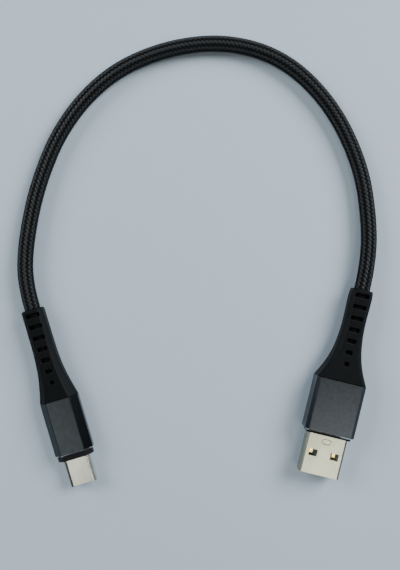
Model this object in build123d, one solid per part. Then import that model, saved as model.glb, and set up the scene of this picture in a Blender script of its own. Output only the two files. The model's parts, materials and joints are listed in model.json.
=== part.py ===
from build123d import *
import os
from math import radians, tan

# Short braided charging cable: a wide rectangular plug at the host end, a slim oval plug at the
# device end, and a braided cord that arches between them. Millimetres. The table is Z = 0, the cable
# lies flat on it, and +X runs from the device plug to the host plug. Each plug is drawn about its own
# axis: local X runs from the cord end of its boot to its nose, local Y is its width, local Z its
# thickness.

# ---- Cord -----------------------------------------------------------------------------------
SLEEVE_D = 4.8          # over the braided sleeve
JACKET_D = 4.0          # over the moulded jacket under it
SHIELD_D = 2.8          # over the wrapped foil and drain braid
SHIELD_BORE = 2.6       # the room left for the four conductors
POWER_WIRE_D = 1.1      # the red and black conductors
DATA_WIRE_D = 0.72      # the green and white conductors
POWER_WIRE_OUT = 0.62   # how far each power wire lies from the cord's axis
DATA_WIRE_OUT = 0.88    # how far each data wire lies from it

# The cord's route, from the mouth of the host boot to the mouth of the device boot. Its first and
# last runs are in line with the plugs. It leaves both boots above the table and settles on it.
ROUTE = [
    (49.3, 29.2, 3.9), (51.1, 36.6, 3.9), (51.8, 49.0, 3.0), (49.4, 66.5, 2.45), (40.6, 84.9, 2.45),
    (26.5, 98.7, 2.45), (9.2, 104.0, 2.45), (-9.4, 102.0, 2.45), (-26.8, 94.2, 2.45),
    (-40.4, 79.2, 2.45), (-48.2, 60.5, 2.45), (-51.6, 42.5, 2.8), (-51.57, 30.92, 3.2),
    (-49.3, 23.3, 3.2),
]
ARC_SHARE = 0.45        # the share of its shorter run that each arc of the route takes up

# ---- Both plugs -----------------------------------------------------------------------------
EDGE_R = 0.3            # softening of the long edges of boots and housings
SPIGOT_L = 2.0          # how far a boot reaches into its housing
MOUTH_BEVEL = 0.35      # the bevel round a boot's cord end
RIM_BEVEL = 0.4         # the cut bevel round a housing's front rim
SLOT_PITCH = 3.43       # the relief slots along a boot, counted from its cord end
SLOT_FIRST = 1.95
SLOT_L = 1.1
SLOT_R = 0.25
SLOT_WIDTHS = [4.1, 3.9, 3.6, 3.0, 2.5, 2.0, 1.25]
SLOT_FLOOR = 1.6        # height above the axis at which the slots end, inside the cord's radius
CLAMP_D = 5.3           # the crimped ring that holds the cable end, inside the front of the boot
CLAMP_L = 2.6
CLAMP_BACK = 1.5        # how far behind the housing's seam the ring starts
CABLE_BARE = 0.4        # cable that shows past the spigot before its wires fan out

# ---- Host plug ------------------------------------------------------------------------------
HOST_SEAM = 27.9        # where the boot meets the housing
HOST_HOUSING_L = 16.0
HOST_W, HOST_T = 14.8, 7.8
HOST_FACET = 0.95
HOST_WALL = 0.5
HOST_LIP_L = 0.6        # black moulding that shows in front of the housing
HOST_LIP_INSET = 0.25   # how far it stands in from the housing's inner wall
HOST_NOSE = 56.5
HOST_SHELL_W, HOST_SHELL_T = 12.0, 4.5
HOST_SHELL_R = 0.65
HOST_SHEET = 0.3
HOST_SHELL_L = 16.6
HOST_WINDOW_W, HOST_WINDOW_L = 2.5, 2.05
HOST_WINDOW_OUT = 3.2   # each window's centre from the plug's axis
HOST_WINDOW_BACK = 6.3  # and from the nose
HOST_DIMPLE_W, HOST_DIMPLE_L = 2.5, 1.2    # its flat floor, inside the sloped wall
HOST_DIMPLE_BACK = 10.1
HOST_DIMPLE_DEPTH = 0.2
HOST_DIMPLE_SLOPE = 45.0  # how far its pressed wall leans out, in degrees
HOST_SEAM_GAP = 0.06    # the butt seam of the folded sheet, on the underside
HOST_SEAM_KEY = 1.6     # width of the square key that locks the seam
HOST_SEAM_KEY_BACK = (8.4, 5.6)            # where the key starts and ends, from the nose
HOST_TONGUE_T = 1.9     # the insulator that carries the contacts
HOST_TONGUE_BACK = 0.5  # its front face from the nose
HOST_BLOCK_L = 3.0      # the full-height block at its rear
HOST_CONTACT_W, HOST_CONTACT_T = 1.0, 0.25
HOST_CONTACT_PROUD = 0.05
HOST_CONTACT_Y = [3.5, 1.0, -1.0, -3.5]
HOST_CONTACT_BACK = [1.2, 1.9, 1.9, 1.2]   # front ends from the nose: the power pair leads
HOST_TAIL_L = 2.2       # contact tails behind the insulator
HOST_BOOT = [           # place along the axis, width, thickness, facet
    (MOUTH_BEVEL, 6.15, 6.0, 1.3), (8.0, 6.3, 6.0, 1.3), (13.5, 6.55, 6.05, 1.25),
    (18.5, 7.8, 6.45, 1.15), (22.5, 9.9, 7.0, 1.05), (25.0, 11.9, 7.4, 1.0),
    (HOST_SEAM, HOST_W, HOST_T, HOST_FACET),
]

# ---- Device plug ----------------------------------------------------------------------------
DEVICE_SEAM = 28.05
DEVICE_HOUSING_L = 16.55
DEVICE_W, DEVICE_T = 11.65, 6.4
DEVICE_FACET = 2.2
DEVICE_WALL = 0.45
DEVICE_COLLAR_L = 1.5
DEVICE_NOSE = 54.3
DEVICE_SHELL_W, DEVICE_SHELL_T = 8.25, 2.5
DEVICE_SHEET = 0.25
DEVICE_SHELL_L = 13.6
DEVICE_LIP_R = 0.1
DEVICE_SLOT_W, DEVICE_SLOT_T, DEVICE_SLOT_L = 6.75, 0.84, 5.4
DEVICE_INSULATOR_BACK = 0.15
DEVICE_CONTACT_W, DEVICE_CONTACT_T = 0.26, 0.14
DEVICE_CONTACT_PITCH = 0.5
DEVICE_CONTACT_BACK = 1.3
DEVICE_CONTACT_ON_BOARD = 1.0              # how far the contacts reach back over the board
DEVICE_UPPER_PINS = [1, 4, 5, 6, 7, 9, 12]
DEVICE_LOWER_PINS = [1, 4, 9, 12]
DEVICE_PINS = 12
DEVICE_LATCH_Y = 3.5
DEVICE_LATCH_W, DEVICE_LATCH_T = 0.2, 0.3
DEVICE_LATCH_BACK = 1.2
DEVICE_HOOK_L, DEVICE_HOOK_W = 0.7, 0.3
DEVICE_PAD_W, DEVICE_PAD_L, DEVICE_PAD_T = 5.2, 1.6, 0.12
DEVICE_PAD_BACK = 2.4
DEVICE_PAD_OUT = 0.88   # height of a pad's inner face from the axis
DEVICE_BOARD = (36.8, 42.0)
DEVICE_BOARD_W = 7.6
DEVICE_RESISTOR = (1.0, 0.5, 0.35)
DEVICE_RESISTOR_AT = (39.6, -2.6)
DEVICE_PAD_Y = [2.7, 0.9, -0.9, -2.7]
DEVICE_BOOT = [
    (MOUTH_BEVEL, 6.35, 5.9, 1.3), (5.5, 6.45, 5.9, 1.3), (13.5, 6.65, 6.0, 1.4),
    (18.5, 7.45, 6.15, 1.6), (22.0, 8.65, 6.25, 1.85), (DEVICE_SEAM, DEVICE_W, DEVICE_T, DEVICE_FACET),
]

SOLDER_W, SOLDER_L, SOLDER_H = 1.2, 1.1, 0.9
SOLDER_R = 0.4


def block(x0, x1, width, low, high, y=0.0):
    """Box from x0 to x1 along the plug, centred across it on y, between two heights."""
    return Pos((x0 + x1) / 2, y, (low + high) / 2) * Box(x1 - x0, width, high - low)


def rod(x0, x1, diameter, bore=0.0):
    """Round bar on the plug's axis, bored through if a bore is given."""
    ring = Circle(diameter / 2) - Circle(bore / 2) if bore else Circle(diameter / 2)
    return extrude(Plane.YZ.offset(x0) * ring, amount=x1 - x0)


def faceted(width, thick, facet):
    """Rectangle with its corners cut at 45 degrees and the cuts softened."""
    cut = chamfer(Rectangle(width, thick).vertices(), facet)
    return fillet(cut.vertices(), EDGE_R)


def prism(outline, x0, x1):
    """Outline drawn across the plug's axis and carried along it."""
    return extrude(Plane.YZ.offset(x0) * outline, amount=x1 - x0)


def stadium(width, thick):
    """Flat oval outline."""
    return SlotOverall(width, thick)


def inset(width, thick, facet, wall):
    """Faceted outline a wall's thickness inside another one."""
    return faceted(width - 2 * wall, thick - 2 * wall, facet - wall * (2 - 2 ** 0.5))


def housing(seam, length, width, thick, facet, wall):
    """Aluminium sleeve with a bevel cut round its front rim."""
    outline, front = faceted(width, thick, facet), seam + length
    rim = inset(width, thick, facet, RIM_BEVEL)
    sleeve = prism(outline, seam, front - RIM_BEVEL)
    sleeve += loft([Plane.YZ.offset(front - RIM_BEVEL) * outline, Plane.YZ.offset(front) * rim], ruled=True)
    return sleeve - prism(inset(width, thick, facet, wall), seam, front)


def boot(stations, spigot, room):
    """Strain relief: faceted loft over the cable end, relief slots above and below, spigot in front."""
    sections = [Plane.YZ.offset(x) * faceted(w, t, f) for x, w, t, f in stations]
    _, width, thick, facet = stations[0]
    mouth = Plane.YZ.offset(stations[0][0] - MOUTH_BEVEL) * inset(width, thick, facet, MOUTH_BEVEL)
    body = loft(sections) + loft([mouth, sections[0]], ruled=True)
    reach = stations[-1][2]
    for i, width in enumerate(SLOT_WIDTHS):
        x = SLOT_FIRST + i * SLOT_PITCH
        slot = extrude(Plane.XY.offset(SLOT_FLOOR) * Pos(x, 0) * RectangleRounded(SLOT_L, width, SLOT_R),
                       amount=reach)
        body -= slot
        body -= mirror(slot, Plane.XY)
    seam = stations[-1][0]
    body += prism(spigot, seam, seam + SPIGOT_L)
    return minus(body, room)


def round_bar(points, diameter):
    """Round bar along a bent path of straight runs and tangent arcs."""
    line = FilletPolyline(*points, radius=arc_radii(points))
    return sweep(Plane(line @ 0, z_dir=line % 0) * Circle(diameter / 2), path=line)


def arc_radii(points):
    """Largest arc that each corner's two runs leave room for."""
    radii = []
    for a, b, c in zip(points, points[1:], points[2:]):
        before, after = Vector(*b) - Vector(*a), Vector(*c) - Vector(*b)
        half_turn = radians(before.get_angle(after)) / 2
        radii.append(ARC_SHARE * min(before.length, after.length) / tan(half_turn))
    return radii


# Where each conductor lies about the cord's axis: across it, above it, diameter.
WIRES = {
    "red": (POWER_WIRE_OUT, 0.0, POWER_WIRE_D),
    "white": (0.0, -DATA_WIRE_OUT, DATA_WIRE_D),
    "green": (0.0, DATA_WIRE_OUT, DATA_WIRE_D),
    "black": (-POWER_WIRE_OUT, 0.0, POWER_WIRE_D),
}


def wire_tails(x0, x1, ends, height):
    """The four conductors from the cable's cut end out to their joints, by colour."""
    third = (x1 - x0) / 3
    tails = {}
    for (colour, (y, z, diameter)), end in zip(WIRES.items(), ends):
        sit = height + diameter / 2
        points = [(x0, y, z), (x0 + third, y, z), (x1 - third, end, sit), (x1, end, sit)]
        tails[colour] = round_bar(points, diameter)
    return tails


def fuse(solids):
    """Several separate solids kept as one group."""
    return Compound(children=list(solids))


def minus(body, *tools):
    """Body with every tool cut out of it at once."""
    return body - [solid for tool in tools for solid in tool.solids()]


def cable_end(seam):
    """Cut end of the cord, the ring crimped on it, the place of the cut, and the room both take up."""
    ring_from = seam - CLAMP_BACK
    cut = seam + SPIGOT_L + CABLE_BARE
    end = rod(0, cut, SLEEVE_D, SHIELD_BORE)
    ring = rod(ring_from, ring_from + CLAMP_L, CLAMP_D, SLEEVE_D)
    room = rod(0, cut, SLEEVE_D) + rod(ring_from, ring_from + CLAMP_L, CLAMP_D)
    return end, ring, cut, room


def solder_blobs(at, places, height):
    """Rounded solder blobs in front of the wires' ends, on the face that the joint stands on."""
    blobs = [block(at, at + SOLDER_L, SOLDER_W, height, height + SOLDER_H, y) for y in places]
    return [fillet(b.edges().filter_by(Axis.X).group_by(Axis.Z)[-1], SOLDER_R) for b in blobs]


def host_plug():
    """Every piece of the host plug about its own axis, by name."""
    front = HOST_SEAM + HOST_HOUSING_L
    lip = front + HOST_LIP_L
    back = HOST_NOSE - HOST_SHELL_L
    bore_w, bore_t = HOST_SHELL_W - 2 * HOST_SHEET, HOST_SHELL_T - 2 * HOST_SHEET

    tube = RectangleRounded(HOST_SHELL_W, HOST_SHELL_T, HOST_SHELL_R)
    bore = RectangleRounded(bore_w, bore_t, HOST_SHELL_R - HOST_SHEET)
    shell = prism(tube - bore, back, HOST_NOSE)
    at = HOST_NOSE - HOST_WINDOW_BACK
    for side in (-1, 1):
        shell -= block(at - HOST_WINDOW_L / 2, at + HOST_WINDOW_L / 2, HOST_WINDOW_W,
                       -HOST_SHELL_T, HOST_SHELL_T, side * HOST_WINDOW_OUT)
    dimple = Pos(HOST_NOSE - HOST_DIMPLE_BACK, 0) * SlotOverall(HOST_DIMPLE_W, HOST_DIMPLE_L, rotation=90)
    shell -= extrude(Plane.XY.offset(HOST_SHELL_T / 2 - HOST_DIMPLE_DEPTH) * dimple, amount=HOST_SHEET,
                     taper=-HOST_DIMPLE_SLOPE)
    key = tuple(HOST_NOSE - back_by for back_by in HOST_SEAM_KEY_BACK)
    gap = HOST_SEAM_GAP
    low, high = -HOST_SHELL_T / 2 - gap, -HOST_SHELL_T / 2 + HOST_SHEET + gap
    shell -= block(back - gap, key[0], gap, low, high)
    shell -= block(key[1], HOST_NOSE + gap, gap, low, high)
    shell -= block(key[0] - gap / 2, key[1] + gap / 2, gap, low, high, HOST_SEAM_KEY)
    for x in key:
        shell -= block(x - gap / 2, x + gap / 2, HOST_SEAM_KEY, low, high, HOST_SEAM_KEY / 2)

    floor = -bore_t / 2
    deck = floor + HOST_TONGUE_T
    insulator = prism(bore, back, back + HOST_BLOCK_L)
    insulator += prism(bore, back, HOST_NOSE - HOST_TONGUE_BACK) & block(
        back, HOST_NOSE, HOST_SHELL_W, floor, deck)
    contacts = [
        block(back - HOST_TAIL_L, HOST_NOSE - short, HOST_CONTACT_W, deck - HOST_CONTACT_T,
              deck, y) + block(back + HOST_BLOCK_L, HOST_NOSE - short, HOST_CONTACT_W,
                               deck - HOST_CONTACT_T, deck + HOST_CONTACT_PROUD, y)
        for y, short in zip(HOST_CONTACT_Y, HOST_CONTACT_BACK)
    ]
    contacts = fuse(contacts)
    insulator = minus(insulator, contacts)

    end, ring, cut, room = cable_end(HOST_SEAM)
    joint_at = back - HOST_TAIL_L
    wires = wire_tails(cut, joint_at, HOST_CONTACT_Y, deck)
    blobs = solder_blobs(joint_at, HOST_CONTACT_Y, deck)
    spigot = inset(HOST_W, HOST_T, HOST_FACET, HOST_WALL)
    moulding = prism(spigot, HOST_SEAM + SPIGOT_L, front)
    moulding += prism(inset(HOST_W, HOST_T, HOST_FACET, HOST_WALL + HOST_LIP_INSET), front, lip)
    moulding = minus(moulding, prism(tube, back, HOST_NOSE), contacts, room, *blobs, *wires.values())
    return {
        "host_shell": shell, "host_insulator": insulator, "host_contacts": contacts,
        "host_solder_joints": fuse(blobs), "host_cable_clamp": ring, "host_cable_end": end,
        **{f"host_wire_{colour}": wire for colour, wire in wires.items()},
        "host_inner_body": moulding,
        "host_housing": housing(HOST_SEAM, HOST_HOUSING_L, HOST_W, HOST_T, HOST_FACET, HOST_WALL),
        "host_boot": boot(HOST_BOOT, spigot, room),
    }


def device_contact_row(pins, side):
    """One row of spring contacts, above the tongue slot or, with side -1, below it."""
    inner = DEVICE_SLOT_T / 2
    return fuse(
        block(DEVICE_BOARD[1] - DEVICE_CONTACT_ON_BOARD, DEVICE_NOSE - DEVICE_CONTACT_BACK, DEVICE_CONTACT_W,
              *sorted((side * inner, side * (inner + DEVICE_CONTACT_T))),
              side * (pin - (DEVICE_PINS + 1) / 2) * DEVICE_CONTACT_PITCH)
        for pin in pins
    )


def device_plug():
    """Every piece of the device plug about its own axis, by name."""
    front = DEVICE_SEAM + DEVICE_HOUSING_L
    back = DEVICE_NOSE - DEVICE_SHELL_L
    outer = stadium(DEVICE_SHELL_W, DEVICE_SHELL_T)
    bore = stadium(DEVICE_SHELL_W - 2 * DEVICE_SHEET, DEVICE_SHELL_T - 2 * DEVICE_SHEET)
    solid_shell = prism(outer, back, DEVICE_NOSE)
    lip = solid_shell.faces().sort_by(Axis.X)[-1]
    shell = fillet(lip.edges(), DEVICE_LIP_R) - prism(bore, back, DEVICE_NOSE)

    upper = device_contact_row(DEVICE_UPPER_PINS, 1)
    lower = device_contact_row(DEVICE_LOWER_PINS, -1)
    tip = DEVICE_NOSE - DEVICE_INSULATOR_BACK
    arms = []
    for side in (-1, 1):
        arm = block(DEVICE_BOARD[1], DEVICE_NOSE - DEVICE_LATCH_BACK, DEVICE_LATCH_W,
                    -DEVICE_LATCH_T / 2, DEVICE_LATCH_T / 2, side * DEVICE_LATCH_Y)
        arm += block(DEVICE_NOSE - DEVICE_LATCH_BACK - DEVICE_HOOK_L, DEVICE_NOSE - DEVICE_LATCH_BACK,
                     DEVICE_HOOK_W, -DEVICE_LATCH_T / 2, DEVICE_LATCH_T / 2,
                     side * (DEVICE_LATCH_Y - DEVICE_HOOK_W / 2))
        arms.append(arm)
    latches = fuse(arms)
    pads = fuse(
        block(tip - DEVICE_PAD_BACK - DEVICE_PAD_L, tip - DEVICE_PAD_BACK, DEVICE_PAD_W,
              *sorted((side * DEVICE_PAD_OUT, side * (DEVICE_PAD_OUT + DEVICE_PAD_T))))
        for side in (-1, 1)
    )
    insulator = prism(bore, back, tip)
    insulator -= block(tip - DEVICE_SLOT_L, DEVICE_NOSE, DEVICE_SLOT_W, -DEVICE_SLOT_T / 2,
                       DEVICE_SLOT_T / 2)
    board = block(*DEVICE_BOARD, DEVICE_BOARD_W, -DEVICE_SLOT_T / 2, DEVICE_SLOT_T / 2)
    insulator = minus(insulator, upper, lower, latches, pads, board)

    top = DEVICE_SLOT_T / 2
    length, width, tall = DEVICE_RESISTOR
    x, y = DEVICE_RESISTOR_AT
    resistor = block(x - length / 2, x + length / 2, width, top, top + tall, y)
    end, ring, cut, room = cable_end(DEVICE_SEAM)
    joint_at = DEVICE_BOARD[0]
    wires = wire_tails(cut, joint_at, DEVICE_PAD_Y, top)
    blobs = solder_blobs(joint_at, DEVICE_PAD_Y, top)
    spigot = inset(DEVICE_W, DEVICE_T, DEVICE_FACET, DEVICE_WALL)
    moulding = prism(spigot, DEVICE_SEAM + SPIGOT_L, front + DEVICE_COLLAR_L)
    moulding = minus(moulding, prism(outer, back, DEVICE_NOSE), board, resistor, room, *blobs,
                     *wires.values())
    return {
        "device_shell": shell, "device_insulator": insulator, "device_contacts_upper": upper,
        "device_contacts_lower": lower, "device_latch_springs": latches, "device_ground_pads": pads,
        "device_circuit_board": board, "device_resistor": resistor, "device_solder_joints": fuse(blobs),
        "device_cable_clamp": ring, "device_cable_end": end,
        **{f"device_wire_{colour}": wire for colour, wire in wires.items()},
        "device_inner_body": moulding,
        "device_housing": housing(DEVICE_SEAM, DEVICE_HOUSING_L, DEVICE_W, DEVICE_T, DEVICE_FACET,
                                  DEVICE_WALL),
        "device_boot": boot(DEVICE_BOOT, spigot, room),
    }


def cord():
    """The lengths of the cord's layers and conductors between the two boots, by name."""
    line = FilletPolyline(*ROUTE, radius=arc_radii(ROUTE))
    start = Plane(line @ 0, x_dir=(line % 0).cross(Vector(0, 0, 1)), z_dir=line % 0)
    layers = {
        "cord_sleeve": Circle(SLEEVE_D / 2) - Circle(JACKET_D / 2),
        "cord_jacket": Circle(JACKET_D / 2) - Circle(SHIELD_D / 2),
        "cord_shield": Circle(SHIELD_D / 2) - Circle(SHIELD_BORE / 2),
        **{f"cord_wire_{colour}": Pos(y, z) * Circle(d / 2) for colour, (y, z, d) in WIRES.items()},
    }
    print("arc radii", [round(r, 1) for r in arc_radii(ROUTE)])
    pieces = {}
    for name, section in layers.items():
        pieces[name] = sweep(start * section, path=line)
        print(name, "volume over section x length", pieces[name].volume / (section.area * line.length))
    print("route length", line.length)
    return pieces


def in_line(end, before):
    """Placement that puts a plug's axis on the run from one route point to the mouth of its boot."""
    run = Vector(*end) - Vector(*before)
    return Plane(origin=end, x_dir=run, z_dir=(0, 0, 1)).location


def main():
    """Build every piece, place the plugs on the route's ends and write one STEP file per node."""
    nodes = cord()
    for plug, place in ((host_plug(), in_line(ROUTE[0], ROUTE[1])),
                        (device_plug(), in_line(ROUTE[-1], ROUTE[-2]))):
        nodes.update({name: place * piece for name, piece in plug.items()})
    own = [piece.bounding_box() for name, piece in nodes.items() if not name.startswith("cord_")]
    print("plugs X", min(b.min.X for b in own), max(b.max.X for b in own),
          "Y", min(b.min.Y for b in own), max(b.max.Y for b in own),
          "Z", min(b.min.Z for b in own), max(b.max.Z for b in own))
    os.makedirs("parts", exist_ok=True)
    for name, piece in nodes.items():
        export_step(piece, f"parts/{name}.step")


main()
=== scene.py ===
"""Looks of a short braided charging cable, with a wide host plug and a slim device plug."""
import json
import logging
import math
from dataclasses import dataclass, field
from enum import Enum

import bpy
import numpy as np
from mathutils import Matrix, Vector


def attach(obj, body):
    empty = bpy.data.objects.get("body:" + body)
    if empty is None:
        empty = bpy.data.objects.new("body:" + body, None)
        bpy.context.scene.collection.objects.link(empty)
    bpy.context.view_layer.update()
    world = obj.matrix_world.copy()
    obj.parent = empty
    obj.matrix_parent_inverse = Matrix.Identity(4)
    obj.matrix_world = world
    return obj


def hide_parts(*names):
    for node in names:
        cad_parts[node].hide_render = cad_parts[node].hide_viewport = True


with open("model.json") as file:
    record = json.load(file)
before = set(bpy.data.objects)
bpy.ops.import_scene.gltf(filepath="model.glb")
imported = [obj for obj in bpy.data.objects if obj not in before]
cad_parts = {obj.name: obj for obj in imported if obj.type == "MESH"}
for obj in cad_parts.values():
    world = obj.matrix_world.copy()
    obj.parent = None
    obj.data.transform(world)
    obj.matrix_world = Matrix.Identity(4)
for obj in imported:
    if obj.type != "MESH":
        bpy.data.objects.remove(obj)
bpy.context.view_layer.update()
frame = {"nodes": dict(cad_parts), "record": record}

MM = 0.001
UP = Vector((0.0, 0.0, 1.0))
BODY = "root"
Colour = tuple[float, float, float]
Place = tuple[float, float, float]
SocketSpec = tuple[str, str, float | tuple[float, ...]]
log = logging.getLogger("charging_cable")

# ---------------------------------------------------------------------------------------------
# Surface effects. A noise scale is in features per metre, or for the filaments' wobble per ring of
# the yarn's mesh. A range gives the values between which an effect comes in.
# ---------------------------------------------------------------------------------------------
GRAIN_BROAD_SHARE = 0.02
CLOUD_SCALE = 120.0
WEAR_FULL_AT = 0.62
WEAR_PATCH_SCALE = 900.0
WEAR_PATCH_RANGE = (0.35, 0.65)
DUST_COLOUR = (0.5, 0.5, 0.48, 1.0)
DUST_FILM_SCALE = 450.0
DUST_FILM_RANGE = (0.45, 0.8)
DUST_FILM_SHARE = 0.6
DUST_SPECK_SCALE = 1600.0
DUST_SPECK_RANGE = (0.12, 0.05)
DUST_FACING_RANGE = (0.1, 0.9)
DRAWN_STRETCH = (1.0, 0.03, 1.0)
DRAWN_CLOUD_SCALE = 260.0
FILAMENT_WOBBLE_SCALE = 0.7
FILAMENT_GROOVE_RANGE = (0.7, 0.0)
FILAMENT_MOTTLE_SCALE = 2200.0
FILAMENT_MOTTLE_RANGE = (0.3, 0.7)
# How much painted shade the mottle lets into the grooves between filaments.
FILAMENT_PAINTED_SHADE_RANGE = (0.25, 0.8)


# ---------------------------------------------------------------------------------------------
# Shader building
# ---------------------------------------------------------------------------------------------
class Graph:
    """A node tree with short calls for adding nodes and linking them."""

    def __init__(self, tree: bpy.types.NodeTree) -> None:
        """Wraps an existing node tree.

        Args:
            tree: the tree that the nodes are added to.
        """
        self.tree = tree

    def add(self, kind: str, settings: dict | None = None, **inputs: object) -> bpy.types.Node:
        """Adds a node, sets its properties and fills or links its inputs.

        Args:
            kind: the node's type name, without the ShaderNode prefix.
            settings: node properties by name.
            **inputs: input sockets by name, with underscores for spaces; a socket is linked.

        Returns:
            The new node.
        """
        node = self.tree.nodes.new("ShaderNode" + kind)
        for name, value in (settings or {}).items():
            setattr(node, name, value)
        for name, value in inputs.items():
            self.fill(node, name.replace("_", " "), value)
        return node

    def fill(self, node: bpy.types.Node, name: str | int, value: object) -> None:
        """Links a socket into a node's input, or writes a constant on it.

        Args:
            node: the node whose input is filled.
            name: the input's name or index.
            value: a socket to link, or the constant.
        """
        if isinstance(value, bpy.types.NodeSocket):
            self.tree.links.new(value, node.inputs[name])
        else:
            node.inputs[name].default_value = value

    def math(self, operation: str, first: object, second: object = 0.0, clamp: bool = False
             ) -> bpy.types.NodeSocket:
        """Adds a math node.

        Args:
            operation: the operation's Blender name.
            first: the first value or socket.
            second: the second value or socket.
            clamp: keep the result from 0 to 1.

        Returns:
            The result's socket.
        """
        node = self.add("Math", {"operation": operation, "use_clamp": clamp})
        self.fill(node, 0, first)
        self.fill(node, 1, second)
        return node.outputs[0]

    def mix(self, factor: object, first: object, second: object) -> bpy.types.NodeSocket:
        """Adds a colour mix.

        Args:
            factor: the share of the second colour.
            first: the colour at 0.
            second: the colour at 1.

        Returns:
            The mixed colour's socket.
        """
        node = self.add("Mix", {"data_type": "RGBA"})
        self.fill(node, 0, factor)
        self.fill(node, 6, first)
        self.fill(node, 7, second)
        return node.outputs[2]

    def ramp(self, value: bpy.types.NodeSocket, low: float | bpy.types.NodeSocket, high: float,
             to_low: float = 0.0, to_high: float = 1.0) -> bpy.types.NodeSocket:
        """Maps a value from one range to another, clamped.

        Args:
            value: the socket to map.
            low: the input that gives to_low, or its socket.
            high: the input that gives to_high.
            to_low: the output at low.
            to_high: the output at high.

        Returns:
            The mapped value's socket.
        """
        node = self.add("MapRange", Value=value, From_Min=low, From_Max=high, To_Min=to_low, To_Max=to_high)
        return node.outputs["Result"]


class Effect(Enum):
    """The surface effects that several finishes share, each one a node group."""

    GRAIN = "Surface grain"
    WEAR = "Edge wear"
    DUST = "Settled dust"
    DRAWN = "Drawn lines"
    FILAMENT = "Yarn filaments"


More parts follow.
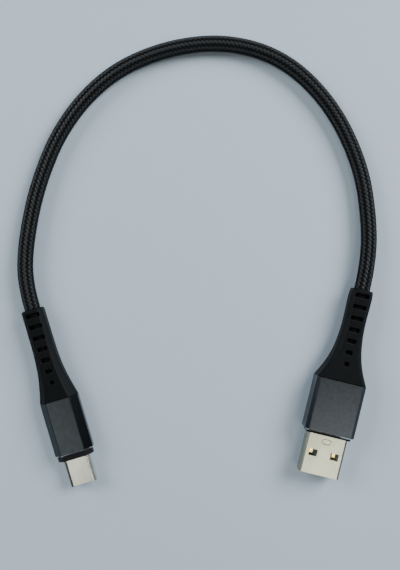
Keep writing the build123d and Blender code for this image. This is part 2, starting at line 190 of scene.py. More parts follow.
class EffectLibrary:
    """Builds each shared node group once and hands it out to the finishes."""

    def __init__(self) -> None:
        """Starts with no group built."""
        self._built: dict[Effect, bpy.types.NodeTree] = {}

    def get(self, effect: Effect) -> bpy.types.NodeTree:
        """Gives an effect's node group, building it the first time.

        Args:
            effect: which effect.

        Returns:
            The node group.
        """
        if effect not in self._built:
            maker = {Effect.GRAIN: self._grain, Effect.WEAR: self._wear, Effect.DUST: self._dust,
                     Effect.DRAWN: self._drawn, Effect.FILAMENT: self._filament}[effect]
            self._built[effect] = maker()
        return self._built[effect]

    @staticmethod
    def _start(effect: Effect, inputs: list[SocketSpec], outputs: list[tuple[str, str]]
               ) -> tuple[Graph, bpy.types.Node, bpy.types.Node]:
        """Makes an empty group with its sockets.

        Args:
            effect: which effect the group is for.
            inputs: name, type and default of each input.
            outputs: name and type of each output.

        Returns:
            The group's graph, its input node and its output node.
        """
        tree = bpy.data.node_groups.new(effect.value, "ShaderNodeTree")
        for name, kind, default in inputs:
            socket = tree.interface.new_socket(name, in_out="INPUT", socket_type="NodeSocket" + kind)
            socket.default_value = default
        for name, kind in outputs:
            tree.interface.new_socket(name, in_out="OUTPUT", socket_type="NodeSocket" + kind)
        return Graph(tree), tree.nodes.new("NodeGroupInput"), tree.nodes.new("NodeGroupOutput")

    def _grain(self) -> bpy.types.NodeTree:
        """Fine and broad noise: a height for the bump, and a roughness that wanders about a middle.

        Returns:
            The node group.
        """
        g, given, out = self._start(
            Effect.GRAIN,
            [("Scale", "Float", 9000.0), ("Roughness", "Float", 0.5), ("Wander", "Float", 0.1)],
            [("Height", "Float"), ("Roughness", "Float")])
        place = g.add("TexCoord").outputs["Object"]
        fine = g.add("TexNoise", Vector=place, Scale=given.outputs["Scale"], Detail=3.0)
        broad_scale = g.math("MULTIPLY", given.outputs["Scale"], GRAIN_BROAD_SHARE)
        broad = g.add("TexNoise", Vector=place, Scale=broad_scale, Detail=2.0)
        swing = g.math("SUBTRACT", broad.outputs["Fac"], 0.5)
        swing = g.math("MULTIPLY", swing, given.outputs["Wander"])
        g.fill(out, "Height", fine.outputs["Fac"])
        g.fill(out, "Roughness", g.math("ADD", given.outputs["Roughness"], swing, clamp=True))
        return g.tree

    def _wear(self) -> bpy.types.NodeTree:
        """Lighter or brighter colour where convex edges have been rubbed.

        Returns:
            The node group.
        """
        g, given, out = self._start(
            Effect.WEAR,
            [("Color", "Color", (0.1, 0.1, 0.1, 1.0)), ("Worn", "Color", (0.5, 0.5, 0.5, 1.0)),
             ("Start", "Float", 0.53), ("Amount", "Float", 0.5)],
            [("Color", "Color")])
        place = g.add("TexCoord").outputs["Object"]
        pointed = g.add("NewGeometry").outputs["Pointiness"]
        edge = g.ramp(pointed, given.outputs["Start"], WEAR_FULL_AT)
        noise = g.add("TexNoise", Vector=place, Scale=WEAR_PATCH_SCALE, Detail=4.0).outputs["Fac"]
        mask = g.math("MULTIPLY", edge, g.ramp(noise, *WEAR_PATCH_RANGE))
        mask = g.math("MULTIPLY", mask, given.outputs["Amount"], clamp=True)
        g.fill(out, "Color", g.mix(mask, given.outputs["Color"], given.outputs["Worn"]))
        return g.tree

    def _dust(self) -> bpy.types.NodeTree:
        """Pale specks and a faint film on faces that look up.

        Returns:
            The node group.
        """
        g, given, out = self._start(
            Effect.DUST, [("Color", "Color", (0.1, 0.1, 0.1, 1.0)), ("Amount", "Float", 0.1)],
            [("Color", "Color")])
        place = g.add("TexCoord").outputs["Object"]
        facing = g.add("SeparateXYZ", Vector=g.add("NewGeometry").outputs["Normal"]).outputs["Z"]
        film = g.add("TexNoise", Vector=place, Scale=DUST_FILM_SCALE, Detail=5.0).outputs["Fac"]
        specks = g.add("TexVoronoi", Vector=place, Scale=DUST_SPECK_SCALE).outputs["Distance"]
        specks = g.ramp(specks, *DUST_SPECK_RANGE)
        film = g.math("MULTIPLY", g.ramp(film, *DUST_FILM_RANGE), DUST_FILM_SHARE)
        mask = g.math("ADD", film, specks)
        mask = g.math("MULTIPLY", mask, g.ramp(facing, *DUST_FACING_RANGE))
        mask = g.math("MULTIPLY", mask, given.outputs["Amount"], clamp=True)
        g.fill(out, "Color", g.mix(mask, given.outputs["Color"], DUST_COLOUR))
        return g.tree

    def _drawn(self) -> bpy.types.NodeTree:
        """Fine lines along one direction, as on drawn and plated sheet.

        Returns:
            The node group.
        """
        g, given, out = self._start(
            Effect.DRAWN,
            [("Turn", "Float", 0.0), ("Fineness", "Float", 6000.0), ("Roughness", "Float", 0.3),
             ("Wander", "Float", 0.15)],
            [("Height", "Float"), ("Roughness", "Float")])
        place = g.add("TexCoord").outputs["Object"]
        turned = g.add("VectorRotate", {"rotation_type": "Z_AXIS"}, Vector=place,
                       Angle=given.outputs["Turn"]).outputs["Vector"]
        squeezed = g.add("VectorMath", {"operation": "MULTIPLY"})
        g.fill(squeezed, 0, turned)
        g.fill(squeezed, 1, DRAWN_STRETCH)
        lines = g.add("TexNoise", Vector=squeezed.outputs[0], Scale=given.outputs["Fineness"],
                      Detail=3.0).outputs["Fac"]
        clouds = g.add("TexNoise", Vector=place, Scale=DRAWN_CLOUD_SCALE, Detail=2.0).outputs["Fac"]
        swing = g.math("SUBTRACT", g.math("MULTIPLY", g.math("ADD", lines, clouds), 0.5), 0.5)
        swing = g.math("MULTIPLY", swing, given.outputs["Wander"])
        g.fill(out, "Height", lines)
        g.fill(out, "Roughness", g.math("ADD", given.outputs["Roughness"], swing, clamp=True))
        return g.tree

    def _filament(self) -> bpy.types.NodeTree:
        """The filaments that run along a flat yarn, from the yarn's own length and width, with painted
        shade in the grooves between them.

        Returns:
            The node group.
        """
        g, given, out = self._start(
            Effect.FILAMENT,
            [("Color", "Color", (0.1, 0.1, 0.1, 1.0)), ("Shade", "Color", (0.02, 0.02, 0.02, 1.0)),
             ("Count", "Float", 14.0)],
            [("Color", "Color"), ("Height", "Float")])
        run = g.add("SeparateXYZ", Vector=g.add("UVMap", {"uv_map": "yarn"}).outputs["UV"])
        across = g.math("MULTIPLY", run.outputs["Y"], given.outputs["Count"])
        wobble = g.add("TexNoise", {"noise_dimensions": "1D"}, W=run.outputs["X"],
                       Scale=FILAMENT_WOBBLE_SCALE)
        across = g.math("ADD", across, wobble.outputs["Fac"])
        wave = g.math("SINE", g.math("MULTIPLY", across, 2 * math.pi))
        height = g.ramp(wave, -1.0, 1.0)
        place = g.add("TexCoord").outputs["Object"]
        mottle = g.add("TexNoise", Vector=place, Scale=FILAMENT_MOTTLE_SCALE, Detail=2.0).outputs["Fac"]
        mottle = g.ramp(mottle, *FILAMENT_MOTTLE_RANGE, *FILAMENT_PAINTED_SHADE_RANGE)
        # Painted shade: the grooves between filaments are mixed toward the Shade colour, by a mottled
        # amount.
        shade = g.math("MULTIPLY", g.ramp(height, *FILAMENT_GROOVE_RANGE), mottle)
        g.fill(out, "Color", g.mix(shade, given.outputs["Color"], given.outputs["Shade"]))
        g.fill(out, "Height", height)
        return g.tree


EFFECTS = EffectLibrary()


@dataclass(frozen=True)
class Finish:
    """A finish that a maker would name, as a Principled material with node-driven detail."""

    name: str
    colour: Colour
    roughness: float = 0.5
    metallic: float = 0.0
    coat: float = 0.0
    bump: float = 0.1
    grain: float = 9000.0
    wander: float = 0.12
    worn: Colour = (0.5, 0.5, 0.5)
    wear: float = 0.0
    dust: float = 0.008
    cloudy: float = 0.05
    specular: float = 0.5
    relief_depth: float = 0.05 * MM

    def material(self) -> bpy.types.Material:
        """Makes the material, or gives the one made before under the same name.

        Returns:
            The Blender material.
        """
        made = bpy.data.materials.get(self.name)
        if made is None:
            made = bpy.data.materials.new(self.name)
            made.use_nodes = True
            graph = Graph(made.node_tree)
            shader = made.node_tree.nodes["Principled BSDF"]
            shader.inputs["Metallic"].default_value = self.metallic
            shader.inputs["Coat Weight"].default_value = self.coat
            shader.inputs["Specular IOR Level"].default_value = self.specular
            self.wire(graph, shader)
        return made

    def effect(self, graph: Graph, kind: Effect, **inputs: object) -> bpy.types.Node:
        """Places a shared effect in the material.

        Args:
            graph: the material's graph.
            kind: which effect.
            **inputs: the group's inputs by name.

        Returns:
            The group node.
        """
        node = graph.tree.nodes.new("ShaderNodeGroup")
        node.node_tree = EFFECTS.get(kind)
        for name, value in inputs.items():
            graph.fill(node, name, value)
        return node

    def relief(self, graph: Graph, shader: bpy.types.Node, height: bpy.types.NodeSocket) -> None:
        """Drives the shader's normal from a height.

        Args:
            graph: the material's graph.
            shader: the Principled node.
            height: the height's socket, 0 to 1.
        """
        bump = graph.add("Bump", Height=height, Strength=self.bump, Distance=self.relief_depth)
        graph.fill(shader, "Normal", bump.outputs["Normal"])

    def base(self, graph: Graph) -> bpy.types.NodeSocket:
        """The base colour with cloudy variation, edge wear and dust.

        Args:
            graph: the material's graph.

        Returns:
            The colour's socket.
        """
        cloud = graph.add("TexNoise", Vector=graph.add("TexCoord").outputs["Object"], Scale=CLOUD_SCALE,
                          Detail=3.0).outputs["Fac"]
        darker = tuple((1.0 - self.cloudy) * c for c in self.colour) + (1.0,)
        lighter = tuple(min(1.0, (1.0 + self.cloudy) * c) for c in self.colour) + (1.0,)
        colour = graph.mix(cloud, darker, lighter)
        worn = self.effect(graph, Effect.WEAR, Color=colour, Worn=(*self.worn, 1.0), Amount=self.wear)
        dusty = self.effect(graph, Effect.DUST, Color=worn.outputs["Color"], Amount=self.dust)
        return dusty.outputs["Color"]

    def wire(self, graph: Graph, shader: bpy.types.Node) -> None:
        """Connects the finish's nodes to the shader.

        Args:
            graph: the material's graph.
            shader: the Principled node.
        """
        grain = self.effect(graph, Effect.GRAIN, Scale=self.grain, Roughness=self.roughness,
                            Wander=self.wander)
        graph.fill(shader, "Base Color", self.base(graph))
        graph.fill(shader, "Roughness", grain.outputs["Roughness"])
        self.relief(graph, shader, grain.outputs["Height"])


@dataclass(frozen=True)
class DrawnMetal(Finish):
    """Plated or polished sheet with fine lines along the plug's axis."""

    turn: float = 0.0
    fineness: float = 6000.0
    relief_depth: float = 0.01 * MM

    def wire(self, graph: Graph, shader: bpy.types.Node) -> None:
        """Connects the drawn lines to roughness and relief.

        Args:
            graph: the material's graph.
            shader: the Principled node.
        """
        lines = self.effect(graph, Effect.DRAWN, Turn=self.turn, Fineness=self.fineness,
                            Roughness=self.roughness, Wander=self.wander)
        graph.fill(shader, "Base Color", self.base(graph))
        graph.fill(shader, "Roughness", lines.outputs["Roughness"])
        self.relief(graph, shader, lines.outputs["Height"])


@dataclass(frozen=True)
class RimmedAluminium(Finish):
    """Blasted and dyed aluminium whose front rim is cut bright after dyeing."""

    rim_at: Place = (0.0, 0.0, 0.0)
    rim_axis: tuple[float, float, float] = (0.0, -1.0, 0.0)
    rim_width: float = 0.4 * MM
    rim_soft: float = 0.02 * MM
    rim_polish: float = 0.35
    relief_depth: float = 0.03 * MM
    rim_colour: Colour = (0.5, 0.51, 0.53)

    def wire(self, graph: Graph, shader: bpy.types.Node) -> None:
        """Connects the dyed field and the bright rim.

        Args:
            graph: the material's graph.
            shader: the Principled node.
        """
        place = graph.add("TexCoord").outputs["Object"]
        from_rim = graph.add("VectorMath", {"operation": "SUBTRACT"})
        graph.fill(from_rim, 0, place)
        graph.fill(from_rim, 1, self.rim_at)
        along = graph.add("VectorMath", {"operation": "DOT_PRODUCT"})
        graph.fill(along, 0, from_rim.outputs[0])
        graph.fill(along, 1, self.rim_axis)
        rim = graph.ramp(along.outputs["Value"], -self.rim_width - self.rim_soft,
                         -self.rim_width + self.rim_soft)
        grain = self.effect(graph, Effect.GRAIN, Scale=self.grain, Roughness=self.roughness,
                            Wander=self.wander)
        colour = graph.mix(rim, self.base(graph), (*self.rim_colour, 1.0))
        graph.fill(shader, "Base Color", colour)
        rough = graph.math("MULTIPLY", grain.outputs["Roughness"],
                           graph.ramp(rim, 0.0, 1.0, 1.0, self.rim_polish))
        graph.fill(shader, "Roughness", rough)
        graph.fill(shader, "Metallic", graph.ramp(rim, 0.0, 1.0, self.metallic, 1.0))
        height = graph.math("MULTIPLY", grain.outputs["Height"], graph.ramp(rim, 0.0, 1.0, 1.0, 0.0))
        self.relief(graph, shader, height)


@dataclass(frozen=True)
class Yarn(Finish):
    """Flat multifilament yarn of the braided sleeve."""

    # The painted shade colour in the grooves between filaments.
    shade: Colour = (0.01, 0.01, 0.01)
    filaments: float = 12.0
    sheen: float = 0.03
    relief_depth: float = 0.03 * MM

    def wire(self, graph: Graph, shader: bpy.types.Node) -> None:
        """Connects the filaments, with the painted shade in their grooves, to colour and relief, with a
        soft sheen.

        Args:
            graph: the material's graph.
            shader: the Principled node.
        """
        run = self.effect(graph, Effect.FILAMENT, Color=(*self.colour, 1.0), Shade=(*self.shade, 1.0),
                          Count=self.filaments)
        dusty = self.effect(graph, Effect.DUST, Color=run.outputs["Color"], Amount=self.dust)
        grain = self.effect(graph, Effect.GRAIN, Scale=self.grain, Roughness=self.roughness,
                            Wander=self.wander)
        graph.fill(shader, "Base Color", dusty.outputs["Color"])
        graph.fill(shader, "Roughness", grain.outputs["Roughness"])
        shader.inputs["Sheen Weight"].default_value = self.sheen
        self.relief(graph, shader, run.outputs["Height"])


# ---------------------------------------------------------------------------------------------
# Mesh building
# ---------------------------------------------------------------------------------------------
def new_piece(name: str, data: bpy.types.Mesh | bpy.types.Curve,
              finish: Finish | None = None) -> bpy.types.Object:
    """Puts new data in the scene as a piece that rides on the cable's body.

    Args:
        name: the piece's name.
        data: its mesh or curve.
        finish: its finish, if it has one.

    Returns:
        The new object.
    """
    piece = bpy.data.objects.new(name, data)
    bpy.context.scene.collection.objects.link(piece)
    if finish is not None:
        data.materials.clear()
        data.materials.append(finish.material())
    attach(piece, BODY)
    return piece


def grid_mesh(name: str, rings: np.ndarray, closed_ends: bool = True) -> bpy.types.Mesh:
    """Skins rows of rings into one mesh of tubes.

    Args:
        name: the mesh's name.
        rings: points by tube, ring along it, place round the ring, and coordinate.
        closed_ends: close each tube with a face at both ends.

    Returns:
        A smooth-shaded mesh with a UV map that counts rings along and parts of a turn across.
    """
    tubes, count, around, _ = rings.shape
    tube, ring, part = np.meshgrid(np.arange(tubes), np.arange(count - 1), np.arange(around),
                                   indexing="ij")
    start = tube * count * around
    after = (part + 1) % around
    quads = np.stack([start + ring * around + part, start + ring * around + after,
                      start + (ring + 1) * around + after, start + (ring + 1) * around + part], -1)
    faces = quads.reshape(-1, 4).tolist()
    if closed_ends:
        for first in range(0, tubes * count * around, count * around):
            last = first + (count - 1) * around
            faces.append(list(range(first + around - 1, first - 1, -1)))
            faces.append(list(range(last, last + around)))
    mesh = bpy.data.meshes.new(name)
    mesh.from_pydata(rings.reshape(-1, 3).tolist(), [], faces)
    across = np.stack([part, part + 1, part + 1, part], -1) / around
    along = np.stack([ring, ring, ring + 1, ring + 1], -1)
    layer = mesh.uv_layers.new(name="yarn")
    values = np.zeros((len(mesh.loops), 2), np.float32)
    flat = np.stack([along, across], -1).reshape(-1, 2)
    values[:len(flat)] = flat
    layer.data.foreach_set("uv", values.ravel())
    mesh.polygons.foreach_set("use_smooth", [len(f) == 4 for f in faces])
    mesh.update()
    return mesh


@dataclass
class Path:
    """A smooth line measured along its length, straight on past both ends."""

    points: np.ndarray
    lengths: np.ndarray = field(init=False)

    def __post_init__(self) -> None:
        """Measures the line."""
        steps = np.linalg.norm(np.diff(self.points, axis=0), axis=1)
        self.lengths = np.concatenate([[0.0], np.cumsum(steps)])

    @property
    def length(self) -> float:
        """The line's whole length, in metres."""
        return float(self.lengths[-1])

    def frames(self, places: np.ndarray) -> tuple[np.ndarray, np.ndarray, np.ndarray, np.ndarray]:
        """Finds the line's points and directions at places along it.

        Args:
            places: distances from its start, in metres; they may lie before or past it.

        Returns:
            Points, tangents, level side directions and directions that point up from the line.
        """
        inside = np.clip(places, 0.0, self.length)
        point = np.stack([np.interp(inside, self.lengths, self.points[:, i]) for i in range(3)], 1)
        reach = 0.4 * MM
        ahead, behind = (np.clip(inside + d, 0.0, self.length) for d in (reach, -reach))
        a, b = (np.stack([np.interp(s, self.lengths, self.points[:, i]) for i in range(3)], 1)
                for s in (ahead, behind))
        tangent = (a - b) / np.linalg.norm(a - b, axis=1, keepdims=True)
        point = point + tangent * (places - inside)[:, None]
        side = np.cross(tangent, np.array(UP))
        side /= np.linalg.norm(side, axis=1, keepdims=True)
        return point, tangent, side, np.cross(side, tangent)


def round_tube(name: str, path: Path, places: np.ndarray, radius: float,
               offset: tuple[float, float] = (0.0, 0.0), bore: float = 0.0, around: int = 24
               ) -> bpy.types.Mesh:
    """Makes a tube or a rod along a path.

    Args:
        name: the mesh's name.
        path: the path that it follows.
        places: where along the path its rings lie.
        radius: its outer radius.
        offset: how far it lies to the side of the path and above it.
        bore: its inner radius, or 0 for a solid rod.
        around: how many sides it has.

    Returns:
        The mesh.
    """
    point, _, side, up = path.frames(places)
    middle = point + side * offset[0] + up * offset[1]
    turn = np.linspace(0, 2 * math.pi, around, endpoint=False)

    def rings(size: float) -> np.ndarray:
        """Rings of one radius along the path."""
        wave = np.cos(turn)[None, :, None] * side[:, None, :] + np.sin(turn)[None, :, None] * up[:, None, :]
        return middle[:, None, :] + size * wave

    outer = rings(radius)
    if bore <= 0.0:
        return grid_mesh(name, outer[None])
    inner = rings(bore)
    loop = np.concatenate([outer, inner[::-1], outer[:1]], 0)
    return grid_mesh(name, loop[None], closed_ends=False)


# ---------------------------------------------------------------------------------------------
# Cord
# ---------------------------------------------------------------------------------------------
@dataclass(frozen=True)
class Conductor:
    """One insulated wire: how far it lies beside and above the cord's middle, its radius and colour."""

    offset: tuple[float, float]
    radius: float
    tone: Colour


WIRES = {
    "red": Conductor((0.62 * MM, 0.0), 0.55 * MM, (0.45, 0.02, 0.02)),
    "black": Conductor((-0.62 * MM, 0.0), 0.55 * MM, (0.01, 0.01, 0.01)),
    "green": Conductor((0.0, 0.88 * MM), 0.36 * MM, (0.02, 0.22, 0.06)),
    "white": Conductor((0.0, -0.88 * MM), 0.36 * MM, (0.75, 0.75, 0.72)),
}


def insulation(colour: str) -> Finish:
    """The finish of one conductor's insulation, in the cord and in both plugs."""
    return Finish(f"insulation_{colour}", WIRES[colour].tone, roughness=0.35)


@dataclass
class Cord:
    """The braided cord: sleeve yarns over a jacket, a foil shield and four conductors."""

    route: tuple[Place, ...] = (
        (0.0493, 0.0292, 0.0039), (0.0511, 0.0366, 0.0039), (0.0518, 0.0490, 0.0030),
        (0.0494, 0.0665, 0.00245), (0.0406, 0.0849, 0.00245), (0.0265, 0.0987, 0.00245),
        (0.0092, 0.1040, 0.00245), (-0.0094, 0.1020, 0.00245), (-0.0268, 0.0942, 0.00245),
        (-0.0404, 0.0792, 0.00245), (-0.0482, 0.0605, 0.00245), (-0.0516, 0.0425, 0.0028),
        (-0.05157, 0.03092, 0.0032), (-0.0493, 0.0233, 0.0032),
    )
    diameter: float = 4.8 * MM
    jacket_radius: float = 2.0 * MM
    shield_radius: float = 1.4 * MM
    shield_bore: float = 1.3 * MM
    carriers: int = 16
    lay: float = 20.0 * MM
    yarn_width: float = 0.78 * MM
    yarn_height: float = 0.24 * MM
    yarn_radius: float = 2.15 * MM
    yarn_swing: float = 0.11 * MM
    yarn_sag: float = 0.06 * MM
    yarn_dwell: float = 1.35
    yarn_outline: tuple[tuple[float, float], ...] = (
        (-1.0, -0.15), (-0.55, 0.8), (0.0, 1.0), (0.55, 0.8), (1.0, -0.15), (0.0, -1.0))
    rings_per_crossing: int = 2
    into_boot: float = 24.0 * MM
    jacket_steps: int = 48
    jacket_rounding: int = 6
    core_rings: int = 260
    core_sides: int = 12
    light: Yarn = Yarn("light_yarn", (0.022, 0.025, 0.026), roughness=0.4, bump=0.6, grain=12000.0,
                       shade=(0.006, 0.006, 0.007), dust=0.0, specular=0.25)
    dark: Yarn = Yarn("dark_yarn", (0.004, 0.0045, 0.005), roughness=0.5, bump=0.6, grain=12000.0,
                      shade=(0.0015, 0.0015, 0.0015), dust=0.0, specular=0.05)
    jacket: Finish = Finish("cord_jacket_moulding", (0.015, 0.015, 0.016), roughness=0.6)
    foil: Finish = Finish("shield_foil", (0.7, 0.7, 0.7), roughness=0.35, metallic=1.0, bump=0.4)
    path: Path = field(init=False)

    def lay_out(self) -> bpy.types.Object:
        """Draws the cord's own line as one smooth spline and reads its points.

        Returns:
            The curve object, which is also the cord's jacket.
        """
        data = bpy.data.curves.new("cord_line", "CURVE")
        data.dimensions = "3D"
        spline = data.splines.new("NURBS")
        spline.points.add(len(self.route) - 1)
        for control, place in zip(spline.points, self.route):
            control.co = (*place, 1.0)
            # The control points carry the tube's radius, which keeps the curve's own box to the cord.
            control.radius = self.jacket_radius
        spline.order_u = 3
        spline.use_endpoint_u = True
        data.resolution_u = self.jacket_steps
        line = new_piece("cord_line", data, self.jacket)
        read = bpy.data.meshes.new_from_object(line)
        self.path = Path(np.array([v.co[:] for v in read.vertices]))
        bpy.data.meshes.remove(read)
        data.bevel_depth = 1.0
        data.bevel_resolution = self.jacket_rounding
        data.use_fill_caps = True
        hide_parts("cord_jacket")
        return line

    def yarns(self, name: str, start: float, end: float, leans: int) -> bpy.types.Mesh:
        """Weaves every yarn that leans one way, two over and two under the yarns of the other way.

        Args:
            name: the mesh's name.
            start: where along the cord the yarns start.
            end: where they end.
            leans: 1 or -1, which way they wind.

        Returns:
            The mesh of all those yarns.
        """
        crossing = self.lay / (2 * self.carriers)
        count = max(3, int(round((end - start) / (crossing / self.rings_per_crossing))) + 1)
        places = np.linspace(start, end, count)
        point, tangent, side, up = self.path.frames(places)
        steps = places / crossing
        pitch = 2 * math.pi / self.lay
        slope = math.atan(pitch * self.yarn_radius)
        half, tall = self.yarn_width / 2, self.yarn_height / 2
        # The yarns of the two ways swing half a weave apart, so that one is over where the other is under.
        lag = 0.5 if leans > 0 else 2.5
        tubes = []
        for yarn in range(self.carriers):
            angle = 2 * math.pi * yarn / self.carriers + leans * pitch * places
            phase = (2 * yarn + leans * steps - lag) * math.pi / 2
            radius = self.yarn_radius + self.yarn_swing * np.clip(self.yarn_dwell * np.cos(phase), -1, 1)
            out = np.cos(angle)[:, None] * side + np.sin(angle)[:, None] * up
            around = -np.sin(angle)[:, None] * side + np.cos(angle)[:, None] * up
            across = around * math.cos(slope) - leans * tangent * math.sin(slope)
            middle = point + out * radius[:, None]
            tubes.append(np.stack([middle + across * (half * a) + out * (tall * b - self.yarn_sag * a * a)
                                   for a, b in self.yarn_outline], 1))
        return grid_mesh(name, np.array(tubes))

    def build(self) -> list[bpy.types.Object]:
        """Returns:
            Its pieces.
        """
        line = self.lay_out()
        length = self.path.length
        woven = []
        for label, start, end in (("cord", 0.0, length), ("host", -self.into_boot, 0.0),
                                  ("device", length, length + self.into_boot)):
            for tone, finish, leans in (("light", self.light, 1), ("dark", self.dark, -1)):
                name = f"{label}_yarns_{tone}"
                mesh = self.yarns(name, start, end, leans)
                woven.append(new_piece(name, mesh, finish))
        for sleeve in woven[:2]:
            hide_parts("cord_sleeve")
        inner = [self.core("cord_foil", "cord_shield", self.foil, self.shield_radius,
                           bore=self.shield_bore)]
        for colour, wire in WIRES.items():
            inner.append(self.core(f"cord_conductor_{colour}", f"cord_wire_{colour}",
                                   insulation(colour), wire.radius, wire.offset))
        return [line, *woven, *inner]

    def core(self, name: str, node: str, finish: Finish, radius: float,
             offset: tuple[float, float] = (0.0, 0.0), bore: float = 0.0) -> bpy.types.Object:
        """Builds one inner layer or conductor along the cord.

        Args:
            name: the piece's name.
            node: the CAD node that it stands for.
            finish: its finish.
            radius: its outer radius.
            offset: where its middle lies about the cord's.
            bore: its inner radius.

        Returns:
            The piece.
        """
        places = np.linspace(0.0, self.path.length, self.core_rings)
        mesh = round_tube(name, self.path, places, radius, offset, bore, self.core_sides)
        piece = new_piece(name, mesh, finish)
        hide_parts(node)
        return piece


# ---------------------------------------------------------------------------------------------
# Plugs
# ---------------------------------------------------------------------------------------------
@dataclass
class Plug:
    """What both plugs share: a moulded boot, an aluminium housing and a dressed inside."""

    side: str
    housing_colour: Colour
    housing_roughness: float
    voxel: float = 0.16 * MM
    soften_share: float = 0.5
    soften_rounds: int = 4
    rubber: Finish = Finish("boot_moulding", (0.003, 0.0038, 0.0045), roughness=0.5, bump=0.2,
                            grain=14000.0, wear=0.1, worn=(0.02, 0.022, 0.024), dust=0.004,
                            specular=0.1)

    @property
    def mount(self) -> dict:
        """The record's entry for this plug's nose."""
        return next(m for m in frame["record"]["mounts"] if m["name"] == f"{self.side}_plug")

    @property
    def axis(self) -> Vector:
        """The way the plug points."""
        return Vector(self.mount["axis"]).normalized()

    @property
    def turn(self) -> float:
        """The angle that turns the plug's axis onto +Y."""
        return math.pi / 2 - math.atan2(self.axis.y, self.axis.x)

    def front_of(self, node: str) -> Vector:
        """Finds the middle of a node's front end on the plug's axis.

        Args:
            node: the CAD node.

        Returns:
            The point, in metres.
        """
        nose = Vector(self.mount["pos_m"])
        reach = max((v.co - nose).dot(self.axis) for v in frame["nodes"][node].data.vertices)
        return nose + self.axis * reach

    def dress(self, finishes: dict[str, Finish]) -> list[bpy.types.Object]:
        """Gives CAD nodes their finishes.

        Args:
            finishes: finish by the node's name without the plug's side.

        Returns:
            The dressed nodes.
        """
        dressed = []
        for name, finish in finishes.items():
            node = frame["nodes"][f"{self.side}_{name}"]
            node.data.materials.clear()
            node.data.materials.append(finish.material())
            dressed.append(node)
        return dressed

    def moulded_boot(self) -> bpy.types.Object:
        """Rebuilds the boot as a soft moulding: every edge and slot rim slightly rounded.

        Returns:
            The boot's piece.
        """
        name = f"{self.side}_boot_moulding"
        rough = bpy.data.objects.new(name, frame["nodes"][f"{self.side}_boot"].data.copy())
        bpy.context.scene.collection.objects.link(rough)
        remesh = rough.modifiers.new("even skin", "REMESH")
        remesh.mode, remesh.voxel_size, remesh.use_smooth_shade = "VOXEL", self.voxel, True
        soften = rough.modifiers.new("soft edges", "SMOOTH")
        soften.factor, soften.iterations = self.soften_share, self.soften_rounds
        shape = bpy.data.meshes.new_from_object(rough.evaluated_get(bpy.context.evaluated_depsgraph_get()))
        bpy.data.objects.remove(rough)
        shape.name = name
        boot = new_piece(name, shape, self.rubber)
        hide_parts(f"{self.side}_boot")
        return boot

    def housing_finish(self) -> RimmedAluminium:
        """The dyed aluminium of this plug's housing, with its bright front rim in place."""
        rim = self.front_of(f"{self.side}_housing")
        return RimmedAluminium(
            f"{self.side}_dyed_aluminium", self.housing_colour, roughness=self.housing_roughness,
            metallic=0.9, specular=0.2, bump=0.08, grain=16000.0, wear=0.05, worn=(0.2, 0.21, 0.23),
            dust=0.0, wander=0.01, cloudy=0.01, rim_at=tuple(rim), rim_axis=tuple(self.axis))

    def wires(self) -> dict[str, Finish]:
        """The insulation of the four conductors inside the plug."""
        return {f"wire_{colour}": insulation(colour) for colour in WIRES}

    def common(self) -> dict[str, Finish]:
        """The finishes of the pieces that both plugs have.

        Returns:
            Finish by the node's name without the plug's side.
        """
        return {
            "housing": self.housing_finish(),
            "inner_body": Finish("black_moulding", (0.004, 0.004, 0.005), roughness=0.42, bump=0.15,
                                 specular=0.2),
            "solder_joints": Finish("solder", (0.6, 0.6, 0.62), roughness=0.3, metallic=1.0),
            "cable_clamp": Finish("tinned_steel", (0.6, 0.6, 0.6), roughness=0.35, metallic=1.0),
            # Painted shade: the cable end inside the boots is coloured near black to stand in for the shade
            # deep in the boots' slots.
            "cable_end": Finish("cable_end_painted_shade", (0.002, 0.002, 0.0022), roughness=0.6, dust=0.0,
                                specular=0.05),
            **self.wires(),
        }


GOLD = Finish("gold_plate", (0.83, 0.6, 0.2), roughness=0.28, metallic=1.0, bump=0.1, wander=0.1)
SPRING = Finish("spring_steel", (0.6, 0.6, 0.6), roughness=0.3, metallic=1.0)


@dataclass
class HostPlug(Plug):
    """The wide rectangular plug."""

    side: str = "host"
    housing_colour: Colour = (0.03, 0.035, 0.042)
    housing_roughness: float = 0.28

    def build(self) -> list[bpy.types.Object]:
        """Builds and dresses the plug.

        Returns:
            Its pieces.
        """
        dressed = self.dress({
            **self.common(),
            "shell": DrawnMetal("satin_nickel_plate", (0.36, 0.37, 0.29), roughness=0.3, metallic=1.0,
                                bump=0.08, turn=self.turn, wander=0.12, dust=0.01),
            "insulator": Finish("contact_carrier", (0.55, 0.55, 0.54), roughness=0.45),
            "contacts": GOLD,
        })
        return [self.moulded_boot(), *dressed]


@dataclass
class DevicePlug(Plug):
    """The slim oval plug."""

    side: str = "device"
    housing_colour: Colour = (0.026, 0.031, 0.034)
    housing_roughness: float = 0.2

    def build(self) -> list[bpy.types.Object]:
        """Builds and dresses the plug.

        Returns:
            Its pieces.
        """
        dressed = self.dress({
            **self.common(),
            "shell": DrawnMetal("polished_plate", (0.6, 0.6, 0.52), roughness=0.24, metallic=1.0,
                                bump=0.05, turn=self.turn, wander=0.1, dust=0.01),
            "insulator": Finish("tongue_slot_carrier", (0.012, 0.012, 0.013), roughness=0.4),
            "contacts_upper": GOLD,
            "contacts_lower": GOLD,
            "latch_springs": SPRING,
            "ground_pads": SPRING,
            "circuit_board": Finish("board_mask", (0.015, 0.1, 0.04), roughness=0.3, coat=0.3),
            "resistor": Finish("resistor_glaze", (0.01, 0.01, 0.01), roughness=0.25),
        })
        return [self.moulded_boot(), *dressed]


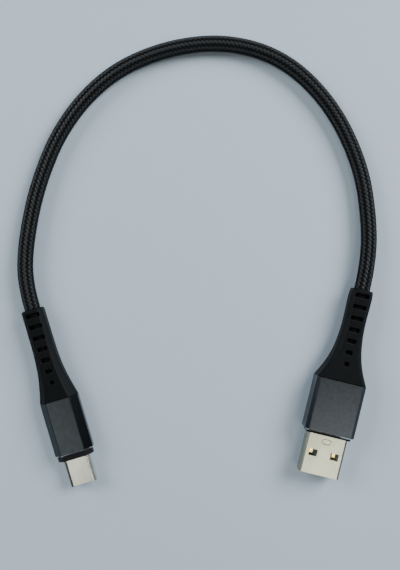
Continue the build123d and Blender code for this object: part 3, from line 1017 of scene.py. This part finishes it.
# ---------------------------------------------------------------------------------------------
# Studio
# ---------------------------------------------------------------------------------------------
@dataclass(frozen=True)
class Lamp:
    """A soft square lamp: where it hangs and its side, in metres, its power in watts and its colour."""

    name: str
    place: Place
    size: float
    power: float
    colour: Colour

    def hang(self, aim: Place) -> None:
        """Adds the lamp to the scene, turned toward a point.

        Args:
            aim: the point that it looks at.
        """
        data = bpy.data.lights.new(self.name, "AREA")
        data.shape, data.size, data.energy, data.color = "SQUARE", self.size, self.power, self.colour
        lamp = bpy.data.objects.new(self.name, data)
        lamp.location = self.place
        toward = Vector(aim) - Vector(self.place)
        lamp.rotation_euler = toward.to_track_quat("-Z", "Y").to_euler()
        bpy.context.scene.collection.objects.link(lamp)


@dataclass
class Studio:
    """Pale floor, soft lights and a camera straight above the cable."""

    camera_at: Place = (0.9 * MM, 30.6 * MM, 200.0 * MM)
    lens: float = 41.42
    sensor: float = 36.0
    nearest: float = 1.0 * MM
    floor_size: float = 3.0
    floor_drop: float = 0.02 * MM
    sky_low: Colour = (0.03, 0.034, 0.042)
    sky_high: Colour = (0.10, 0.115, 0.14)
    sky_rise: tuple[float, float] = (0.2, 0.7)
    sky_power: float = 0.5
    floor_colour: Colour = (0.49, 0.585, 0.665)
    lamps_aim: Place = (0.0, 40 * MM, 0.0)
    lamps: tuple[Lamp, ...] = (
        Lamp("window_right", (0.62, 0.42, 0.55), 0.5, 11.0, (0.92, 0.96, 1.0)),
        Lamp("window_left", (-0.66, 0.35, 0.5), 0.5, 6.0, (0.9, 0.95, 1.0)),
        Lamp("lamp_lower_right", (0.17, -0.2, 0.6), 0.16, 0.6, (1.0, 0.98, 0.88)),
        Lamp("lamp_lower_left", (-0.2, -0.17, 0.6), 0.16, 0.22, (1.0, 1.0, 0.96)),
    )

    def camera(self) -> None:
        """Sets the camera above the cable, looking down, with +Y up the picture."""
        data = bpy.data.cameras.new("overhead")
        data.lens = self.lens
        data.sensor_width = self.sensor
        data.clip_start = self.nearest
        camera = bpy.data.objects.new("overhead", data)
        camera.location = self.camera_at
        bpy.context.scene.collection.objects.link(camera)
        bpy.context.scene.camera = camera

    def floor(self) -> None:
        """Lays the plain pale floor under the cable."""
        half = self.floor_size / 2
        mesh = bpy.data.meshes.new("floor")
        low = -self.floor_drop
        mesh.from_pydata([(-half, -half, low), (half, -half, low), (half, half, low), (-half, half, low)],
                         [], [(0, 1, 2, 3)])
        floor = bpy.data.objects.new("floor", mesh)
        bpy.context.scene.collection.objects.link(floor)
        mesh.materials.append(Finish("table_top", self.floor_colour, roughness=0.55, bump=0.02,
                                     grain=3000.0, dust=0.0, wander=0.02, cloudy=0.01).material())

    def sky(self, graph: Graph, background: bpy.types.Node) -> None:
        """Makes the room dark near the horizon and bright overhead.

        Args:
            graph: the world's graph.
            background: its background node.
        """
        height = graph.add("SeparateXYZ", Vector=graph.add("TexCoord").outputs["Generated"]).outputs["Z"]
        low, high = self.sky_rise
        colour = graph.mix(graph.ramp(height, low, high), (*self.sky_low, 1.0), (*self.sky_high, 1.0))
        graph.fill(background, "Color", colour)
        background.inputs["Strength"].default_value = self.sky_power

    def build(self) -> None:
        """Sets up the world, the floor, the lamps and the camera."""
        self.camera()
        world = bpy.data.worlds.new("soft_room")
        world.use_nodes = True
        self.sky(Graph(world.node_tree), world.node_tree.nodes["Background"])
        bpy.context.scene.world = world
        self.floor()
        for lamp in self.lamps:
            lamp.hang(self.lamps_aim)


def report(pieces: list[bpy.types.Object]) -> None:
    """Logs each piece and its size.

    Args:
        pieces: the pieces to report.
    """
    for piece in pieces:
        log.info("%s %s mm", piece.name, [round(d / MM, 1) for d in piece.dimensions])


def main() -> None:
    """Builds the studio, the cord and the two plugs, in that order."""
    logging.basicConfig(level=logging.INFO, format="%(name)s: %(message)s")
    Studio().build()
    for assembly in (Cord(), HostPlug(), DevicePlug()):
        report(assembly.build())
    bpy.context.view_layer.update()


if __name__ == "__main__":
    main()
